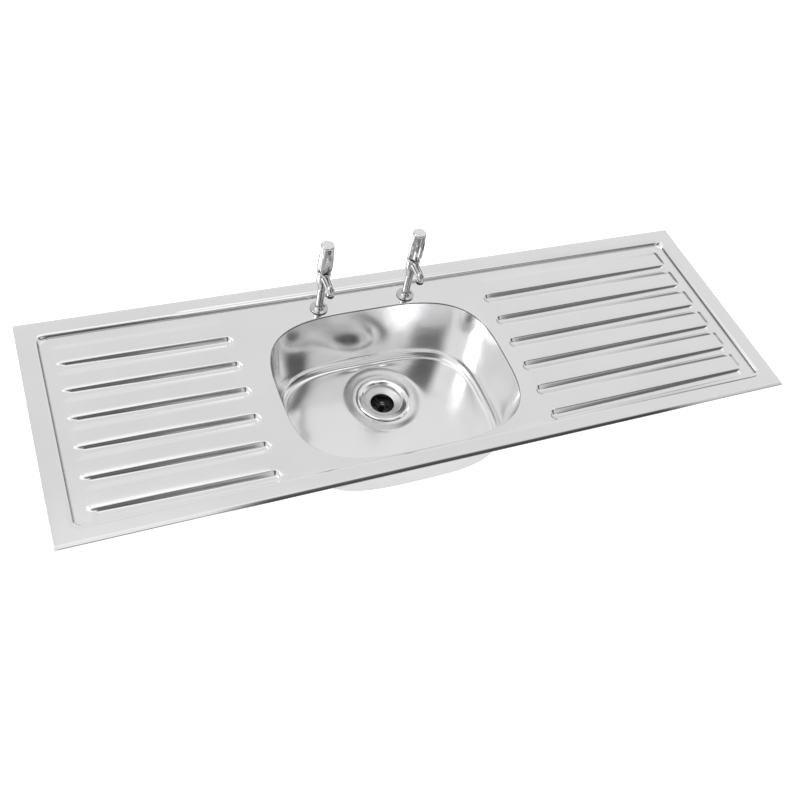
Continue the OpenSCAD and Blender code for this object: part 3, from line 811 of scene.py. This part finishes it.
def bowl_profile(thick):
    """(inset, height) from the bowl's rim to the flat floor, moved outwards by thick."""
    fillet_z = FLOOR_Z + FLOOR_FALL + FLOOR_RADIUS * (1 - math.sin(DRAFT))
    fillet_in = (DECK_Z - SHEET - fillet_z) * math.tan(DRAFT) + FLOOR_RADIUS * math.cos(DRAFT)
    start_in = (DECK_Z - SHEET - WALL_TOP) * math.tan(DRAFT)
    radius = FLOOR_RADIUS + thick
    profile = [(start_in - thick, WALL_TOP)]
    wall_end = (fillet_in - radius * math.cos(DRAFT), fillet_z - thick * math.sin(DRAFT))
    for i in range(1, WALL_ROWS):
        t = i / WALL_ROWS
        profile.append((
            profile[0][0] + (wall_end[0] - profile[0][0]) * t,
            WALL_TOP + (wall_end[1] - WALL_TOP) * t,
        ))
    centre_z = FLOOR_Z + FLOOR_FALL + FLOOR_RADIUS
    for i in range(FILLET_ROWS + 1):
        a = DRAFT + (math.pi / 2 - DRAFT) * i / FILLET_ROWS
        profile.append((fillet_in - radius * math.cos(a), centre_z - radius * math.sin(a)))
    return profile, fillet_in


def floor_shift(z):
    """Shift of the bowl's wall to the right at a height, on its way down to the floor."""
    return FLOOR_RIGHT * np.clip((DECK_Z - SHEET - z) / (DECK_Z - SHEET - FLOOR_Z), 0, 1)


def make_bowl():
    """Inner and outer skin of the wall, the floor, the recess around the waste and the waste's seat."""
    skin = Skin()
    angle = np.linspace(0, 2 * math.pi, BOWL_STEPS, endpoint=False)
    skins = []
    for thick in (0, SHEET):
        profile, fillet_in = bowl_profile(thick)
        rows = []
        for inset, z in profile:
            wall_x, wall_y = opening(angle, inset)
            rows.append(skin.row(wall_x + floor_shift(z), wall_y, z))
        wall_x, wall_y = opening(angle, fillet_in)
        wall_x = wall_x + FLOOR_RIGHT
        rim_x = WASTE_X + RECESS_OUT * np.cos(angle)
        rim_y = WASTE_Y + RECESS_OUT * np.sin(angle)
        for i in range(1, FLOOR_ROWS + 1):
            t = i / FLOOR_ROWS
            z = FLOOR_Z - thick + FLOOR_FALL * (1 - smooth(t))
            rows.append(skin.row(wall_x + (rim_x - wall_x) * t, wall_y + (rim_y - wall_y) * t, z))
        for i in range(1, RECESS_ROWS + 1):
            t = i / RECESS_ROWS
            radius = RECESS_OUT + (RECESS_IN - RECESS_OUT) * t
            z = FLOOR_Z - thick + (SEAT_Z - FLOOR_Z) * (t + smooth(t)) / 2
            rows.append(skin.row(WASTE_X + radius * np.cos(angle), WASTE_Y + radius * np.sin(angle), z))
        for radius in (60, 52, HOLE_R):
            x = WASTE_X + radius * np.cos(angle)
            y = WASTE_Y + radius * np.sin(angle)
            rows.append(skin.row(x, y, SEAT_Z - thick))
        skin.bands(rows)
        skins.append(rows)
    skin.band(skins[0][0], skins[1][0])
    skin.band(skins[0][-1], skins[1][-1])
    obj = make_piece("bowl_shell", skin, 50)
    finish_piece(obj, "stainless_bowl", "sink", "bowl")


make_bowl()

# ---------------------------------------------------------------- waste strainer

STRAINER_Z = SEAT_Z + 1.5
SPIDER_ARMS = 4
SPIDER_TURN = 20
SPIDER_BAR = (22, 2.2, 2.8)
SPIDER_OUT = 14.9
SPIDER_DOWN = 20.6


def make_strainer():
    """Flange, dished cup and a cross of arms in the outlet, from points (radius, height)."""
    outer = [(58.6, 0), (59, 0.9), (58.2, 1.9), (56.4, 2.6), (53.6, 2.8), (50.5, 2.2)]
    dish = [(46.6, 1.2), (45.2, 0.2), (44, -0.3), (42.4, -1.0), (41.2, -2.6)]
    cup = [(40.4, -6.6), (39, -8.6), (33, -10.6), (28, -12.2), (26.2, -13), (25.5, -14.4), (25.5, -22)]
    under_cup = [(27, -22), (27.2, -14.4), (34, -12.2), (39.6, -10.4), (41.8, -8), (42.6, -3)]
    under_flange = [(46, -1.2), (50, -0.4), (54, 0)]
    profile = round_corners([*outer, *dish, *cup, *under_cup, *under_flange], 0.9, 3)
    obj = lathe("strainer_cup_and_flange", profile, (WASTE_X, WASTE_Y, STRAINER_Z), 128, closed=True)
    made = bmesh.new()
    made.from_mesh(obj.data)
    for k in range(SPIDER_ARMS):
        turn = Matrix.Rotation(math.radians(SPIDER_TURN + k * 360 / SPIDER_ARMS), 4, "Z")
        place = Matrix.Translation(Vector((WASTE_X, WASTE_Y, STRAINER_Z - SPIDER_DOWN)) * MM)
        size = Matrix.Diagonal((*(length * MM for length in SPIDER_BAR), 1))
        bar = Matrix.Translation(Vector((SPIDER_OUT, 0, 0)) * MM) @ size
        arm = bmesh.ops.create_cube(made, size=1, matrix=place @ turn @ bar)
        edges = {e for v in arm["verts"] for e in v.link_edges}
        bmesh.ops.bevel(made, geom=list(edges), offset=0.5 * MM, segments=2, affect="EDGES")
    made.to_mesh(obj.data)
    made.free()
    boss = [(3.2, -22), (5.2, -22), (5.6, -21.6), (5.6, -18.4), (5.2, -18), (3.2, -18)]
    ring = lathe("strainer_boss", boss, (WASTE_X, WASTE_Y, STRAINER_Z), 48, closed=True)
    join(obj, [ring])
    obj.data.shade_smooth()
    obj.data.set_sharp_from_angle(angle=math.radians(40))
    finish_piece(obj, "waste_steel", "sink", "waste_strainer")


def join(obj, others):
    """Adds the meshes of other objects to obj and removes them."""
    made = bmesh.new()
    made.from_mesh(obj.data)
    for other in others:
        made.from_mesh(other.data)
    made.to_mesh(obj.data)
    made.free()
    for other in others:
        bpy.data.objects.remove(other)


make_strainer()

# ---------------------------------------------------------------- taps

SPOUT_Z = 98.5
OUTLET_Z = 95.5
SPOUT_REACH = 45.0
SPOUT_STRAIGHT = 0.84
SPOUT_FALL = 0.8
SPOUT_BEND = 7.2
SPOUT_BEND_LIFT = 0.6
SPOUT_END = 9.2
SPOUT_R = 8.6
WAIST_R = 7.0
FLARE_OUT = 11.4
FLARE_Z = 3.1
FLARE_UP = 7.6
STEM_R = 8.2
COLLAR_R = 14.6
HANDLE_Z = 110.5
HANDLE_TOP = 176.0
FLUTES = 5
FLUTE_R = 9.0
FLUTE_DEEP = 3.2
FLUTE_TOP = 161.0
FLUTE_EDGE = 0.7
HANDLE_R = 16.6
HANDLE_CORE_R = 9.0
# The flutes deepen downwards over a length below a height, and run out at their top
FLUTE_SHALLOW_SHARE = 0.75
FLUTE_DEEPENS_BELOW = 150.0
FLUTE_DEEPENS_OVER = 40.0
FLUTE_TOP_RUN = 7.0
# Degrees from the hot handle's flutes to the cold handle's
COLD_TURN = 28


def tap_centre(side):
    """Where a tap's axis meets the deck."""
    return TAPS[side][0] / MM, TAPS[side][1] / MM, DECK_Z


def tap_profile():
    """(radius, height) from the tail's lower end up to the collar's top."""
    tail = [(0, -58), (9.8, -58), (10.4, -57.2), (10.4, 1.5)]
    foot = [(18.4, 1.5), (19, 2.1), (18.7, 2.9)]
    flare = []
    for bend in np.radians((12, 28, 45, 62, 78, 90)):
        radius = WAIST_R + FLARE_OUT * (1 - math.sin(bend))
        flare.append((radius, FLARE_Z + FLARE_UP * (1 - math.cos(bend))))
    stem = [(WAIST_R, 12), (7.4, 12.6), (STEM_R, 13.4), (STEM_R, 56), (STEM_R + 0.2, 60)]
    shoulder = [(11.6, 74), (13.6, 81), (COLLAR_R, 88)]
    collar = [(COLLAR_R, 104.5), (COLLAR_R - 0.5, 106.5), (COLLAR_R - 1.8, 108), (0, 108)]
    return [*tail, *foot, *flare, *stem, *shoulder, *collar]


def spout_rows(skin, centre):
    """A tube that leaves the body almost level, narrows a little and turns down to the nozzle."""
    path = []
    for i in range(11):
        t = i / 10
        z = SPOUT_Z + (OUTLET_Z - SPOUT_Z) * t * SPOUT_FALL
        path.append((0, -SPOUT_REACH * SPOUT_STRAIGHT * t, z))
    for bend in np.radians((15, 35, 55, 75, 90)):
        y = -SPOUT_REACH + SPOUT_BEND * (1 - math.sin(bend))
        path.append((0, y, OUTLET_Z - SPOUT_BEND * (1 - math.cos(bend)) + SPOUT_BEND_LIFT))
    path.append((0, -SPOUT_REACH, OUTLET_Z - SPOUT_END))
    path = np.array(path)
    rows = []
    around = np.linspace(0, 2 * math.pi, 48, endpoint=False)
    for i, p in enumerate(path):
        ahead = path[min(i + 1, len(path) - 1)] - path[max(i - 1, 0)]
        ahead /= np.linalg.norm(ahead)
        side = np.array((1.0, 0, 0))
        over = np.cross(side, ahead)
        radius = SPOUT_R - 0.5 * smooth(i / (len(path) - 1))
        ring = p + radius * (np.outer(np.cos(around), side) + np.outer(np.sin(around), over))
        rows.append(skin.row(centre[0] + ring[:, 0], centre[1] + ring[:, 1], centre[2] + ring[:, 2]))
    for row, p in ((rows[0], path[0]), (rows[-1], path[-1])):
        x = centre[0] + p[0] + TIP_R * np.cos(around)
        y = centre[1] + p[1] + TIP_R * np.sin(around)
        skin.band(row, skin.row(x, y, centre[2] + p[2]))
    skin.bands(rows)


def apply_modifiers(obj):
    """Replaces an object's mesh by what its modifiers make of it."""
    graph = bpy.context.evaluated_depsgraph_get()
    made = bpy.data.meshes.new_from_object(obj.evaluated_get(graph))
    obj.modifiers.clear()
    obj.data = made


def make_tap_body(side):
    centre = tap_centre(side)
    profile = round_corners(tap_profile(), 0.8, 2)
    obj = lathe(f"{side}_tap_casting", profile, centre, 96)
    skin = Skin()
    spout_rows(skin, centre)
    join(obj, [make_piece("spout", skin)])
    remesh = obj.modifiers.new("melt", "REMESH")
    remesh.mode = "VOXEL"
    remesh.voxel_size = 0.5 * MM
    soften = obj.modifiers.new("soften", "SMOOTH")
    soften.factor = 0.5
    soften.iterations = 6
    thin = obj.modifiers.new("thin", "DECIMATE")
    thin.ratio = 0.35
    apply_modifiers(obj)
    obj.data.shade_smooth()
    finish_piece(obj, "chrome", "sink", f"{side}_tap_body")


def make_handle(side):
    """Barrel with finger flutes that run out at its lower edge, so that the edge has lobes."""
    turn = math.radians(COLD_TURN if side == "cold" else 0)

    def fluted(angle, r, z):
        """The barrel's radius, with round cuts that meet its surface in a soft edge."""
        if r <= HANDLE_CORE_R:
            return np.full(angle.shape, r)
        half_share = math.pi / FLUTES
        near = (angle - turn + math.pi / 2 + half_share) % (2 * half_share) - half_share
        deepened = smooth((FLUTE_DEEPENS_BELOW - z) / FLUTE_DEEPENS_OVER)
        share = FLUTE_SHALLOW_SHARE + (1 - FLUTE_SHALLOW_SHARE) * deepened
        depth = FLUTE_DEEP * share * smooth((FLUTE_TOP - z) / FLUTE_TOP_RUN) ** 0.5
        centre_r = r + FLUTE_R - depth
        under = np.maximum(FLUTE_R**2 - (centre_r * np.sin(near)) ** 2, 0)
        cut = np.where(under > 0, centre_r * np.cos(near) - np.sqrt(under), r + 5)
        gap = (cut - r) / FLUTE_EDGE
        return r + FLUTE_EDGE * -np.log1p(np.exp(np.clip(-gap, -30, 30)))

    wide = HANDLE_R
    barrel = [
        (wide - 4.2, HANDLE_Z), (wide - 2.4, HANDLE_Z + 0.4), (wide - 1.2, HANDLE_Z + 2.5),
        (wide - 0.3, HANDLE_Z + 7), (wide, HANDLE_Z + 14), (wide - 0.2, HANDLE_Z + 26),
        (wide - 0.8, HANDLE_Z + 40), (wide - 1.7, HANDLE_Z + 52), (wide - 2.5, HANDLE_TOP - 2.2),
        (wide - 3.0, HANDLE_TOP - 0.6), (wide - 3.7, HANDLE_TOP),
    ]
    top = [(12.9, HANDLE_TOP), (12.8, HANDLE_TOP - 3), (0, HANDLE_TOP - 3)]
    under = [(0, HANDLE_Z + 1), (wide - 6, HANDLE_Z + 1), (wide - 5.4, HANDLE_Z)]
    dense = []
    for a, b in zip(barrel, barrel[1:]):
        steps = max(1, round((b[1] - a[1]) / 1.2))
        for i in range(steps):
            dense.append((a[0] + (b[0] - a[0]) * i / steps, a[1] + (b[1] - a[1]) * i / steps))
    profile = [*under, *dense, barrel[-1], *top]
    obj = lathe(f"{side}_handle_barrel", profile, tap_centre(side), 180, fluted)
    finish_piece(obj, "chrome", f"{side}_handle_group", f"{side}_handle")


def make_cap(side):
    """Index cap: a low domed disc in the handle's top, with a shadow gap around it."""
    z = HANDLE_TOP
    rim = [(0, z - 2.9), (12.3, z - 2.9), (12.6, z - 2.4), (12.6, z - 0.1)]
    dome = [(12.2, z + 0.45), (9, z + 0.8), (5, z + 0.95), (0, z + 1.0)]
    profile = round_corners([*rim, *dome], 0.5, 3)
    obj = lathe(f"{side}_cap_disc", profile, tap_centre(side), 96)
    # the cap's lighter chrome is a painted highlight
    finish_piece(obj, "chrome", f"{side}_handle_group", f"{side}_index_cap", look="chrome_painted_highlight")


for tap_side in TAPS:
    make_tap_body(tap_side)
    make_handle(tap_side)
    make_cap(tap_side)

# ---------------------------------------------------------------- CAD nodes that stay

# How the CAD nodes look that are shown as they are. Their slots are the record's
KEPT = {
    "rim_seal": "foam",
    "sound_pads": "damping_pad",
    "fixing_rails": "stainless_unpolished",
    "clip_brackets": "zinc_steel",
    "clip_jaws": "zinc_steel",
    "clip_screws": "zinc_steel",
    "earth_tag": "stainless_unpolished",
    "earth_screw": "brass",
    "earth_nut": "brass",
    "waste_top_seal": "rubber",
    "waste_lower_seal": "rubber",
    "waste_body": "black_plastic",
    "waste_screw": "waste_steel",
}
KEPT_OF_TAP = {
    "foot_seal": "rubber",
    "fixing_washer": "rubber",
    "backnut": "brass",
    # the nozzle's near-black chrome is painted shade
    "nozzle": "chrome_painted_shade",
    "aerator": "grey_plastic",
    # the headwork's near-black brass is a painted shadow in the gap under the handle
    "headwork": "brass_painted_shadow",
    "fixed_disc": "ceramic",
    "turning_disc": "ceramic",
    "spindle": "brass",
    "handle_screw": "zinc_steel",
}


def dress(node, look):
    """Gives a CAD node its material."""
    mesh = frame["nodes"][node].data
    mesh.materials.clear()
    mesh.materials.append(MATERIALS[look])


for node_name, node_look in KEPT.items():
    dress(node_name, node_look)
for tap_side in TAPS:
    for node_name, node_look in KEPT_OF_TAP.items():
        dress(f"{tap_side}_{node_name}", node_look)

# ---------------------------------------------------------------- studio

FLOOR_SIZE = 14
FRONT = Vector((0.42, -0.907, 0)).normalized()
# Cosines of the angle from the front over which the back sky gives way to the front one
FRONT_FROM = (0.35, 0.75)
LOW_WINDOW = Vector((0.363, -0.712, 0.602)).normalized()
HIGH_WINDOW = Vector((0.283, -0.375, 0.883)).normalized()
LEFT_SCREEN = Vector((-0.80, 0.58, 0.08)).normalized()
RIGHT_SCREEN = Vector((0.78, 0.60, 0.10)).normalized()
# (sine of the height above the horizon, brightness) of the sky behind and in front of the sink
BACK_SKY = [
    (0.0, 1.05), (0.5, 1.05), (0.6, 1.02), (0.695, 0.99), (0.743, 0.98),
    (0.788, 0.96), (0.84, 0.95), (0.9, 1.3), (0.96, 1.6), (1.0, 0.9),
]
FRONT_SKY = [
    (0.0, 0.7), (0.2, 0.5), (0.32, 0.12), (0.45, 0.06), (0.6, 0.12),
    (0.72, 0.2), (0.8, 0.18), (0.88, 0.11), (0.97, 0.06), (1.0, 0.9),
]
# Direction, cosines of the outer and inner edge, level, and how the level joins the sky's
SKY_PATCHES = [
    (LOW_WINDOW, 0.955, 0.985, 0.8, "MAXIMUM"),
    (HIGH_WINDOW, 0.982, 0.992, 0.95, "MAXIMUM"),
    (LEFT_SCREEN, 0.93, 0.97, 0.2, "MULTIPLY"),
    (RIGHT_SCREEN, 0.93, 0.97, 0.2, "MULTIPLY"),
]


def grey_ramp(nodes, links, value, stops):
    """A grey level that follows value through the stops (place, level)."""
    ramp = nodes.new("ShaderNodeValToRGB")
    elements = ramp.color_ramp.elements
    while len(elements) < len(stops):
        elements.new(0.5)
    top = max(level for _, level in stops)
    for element, (place, level) in zip(elements, stops):
        element.position = place
        element.color = (level / top, level / top, level / top, 1)
    links.new(value, ramp.inputs["Fac"])
    return maths(nodes, links, "MULTIPLY", ramp.outputs["Color"], top)


def make_world():
    """A bright room with a darker front half, two windows in it and two dark screens at the sides."""
    world = bpy.data.worlds.new("studio")
    bpy.context.scene.world = world
    world.use_nodes = True
    nodes, links = world.node_tree.nodes, world.node_tree.links
    nodes.clear()
    way = nodes.new("ShaderNodeTexCoord").outputs["Generated"]
    height = split_axes(nodes, links, way)["Z"]
    flat = vector_maths(nodes, links, "MULTIPLY", way, (1, 1, 0))
    unit = vector_maths(nodes, links, "NORMALIZE", flat)
    facing = vector_maths(nodes, links, "DOT_PRODUCT", unit, FRONT)
    mixed = nodes.new("ShaderNodeMix")
    mixed.data_type = "FLOAT"
    links.new(map_value(nodes, links, facing, *FRONT_FROM, 0, 1), mixed.inputs[0])
    links.new(grey_ramp(nodes, links, height, BACK_SKY), mixed.inputs[2])
    links.new(grey_ramp(nodes, links, height, FRONT_SKY), mixed.inputs[3])
    strength = mixed.outputs[0]
    for aim, outer, inner, level, operation in SKY_PATCHES:
        near = vector_maths(nodes, links, "DOT_PRODUCT", way, aim)
        away = 0 if operation == "MAXIMUM" else 1
        light = map_value(nodes, links, near, outer, inner, away, level)
        strength = maths(nodes, links, operation, strength, light)
    background = nodes.new("ShaderNodeBackground")
    links.new(strength, background.inputs["Strength"])
    output = nodes.new("ShaderNodeOutputWorld")
    links.new(background.outputs[0], output.inputs["Surface"])


def make_lamp(name, place, aim, size, power):
    data = bpy.data.lights.new(name, "AREA")
    data.shape = "RECTANGLE"
    data.size, data.size_y = size
    data.energy = power
    lamp = link(bpy.data.objects.new(name, data))
    lamp.location = place
    lamp.rotation_euler = (Vector(aim) - Vector(place)).to_track_quat("-Z", "Y").to_euler()


def make_floor():
    """Pale studio floor, just under the lowest point."""
    data = bpy.data.meshes.new("floor")
    half = FLOOR_SIZE / 2
    z = cad_box[0].z - 0.001
    corners = [(-half, -half, z), (half, -half, z), (half, half, z), (-half, half, z)]
    data.from_pydata(corners, [], [(0, 1, 2, 3)])
    floor = link(bpy.data.objects.new("floor", data))
    material, nodes, links, shader, place = new_material("studio_floor")
    cloud = add_noise(nodes, links, place, 2, 3)
    paint = tint(nodes, links, cloud, (0.93, 0.93, 0.93), (0.95, 0.95, 0.95))
    links.new(paint, shader.inputs["Base Color"])
    shader.inputs["Roughness"].default_value = 0.9
    shader.inputs["Emission Color"].default_value = (1, 1, 1, 1)
    shader.inputs["Emission Strength"].default_value = 0.75
    data.materials.append(material)


make_world()
make_floor()
make_lamp("lamp_left", (-2.2, 0.6, 2.0), (-0.1, 0, 0), (1.2, 1.2), 14)

bpy.context.scene.view_settings.view_transform = "Standard"
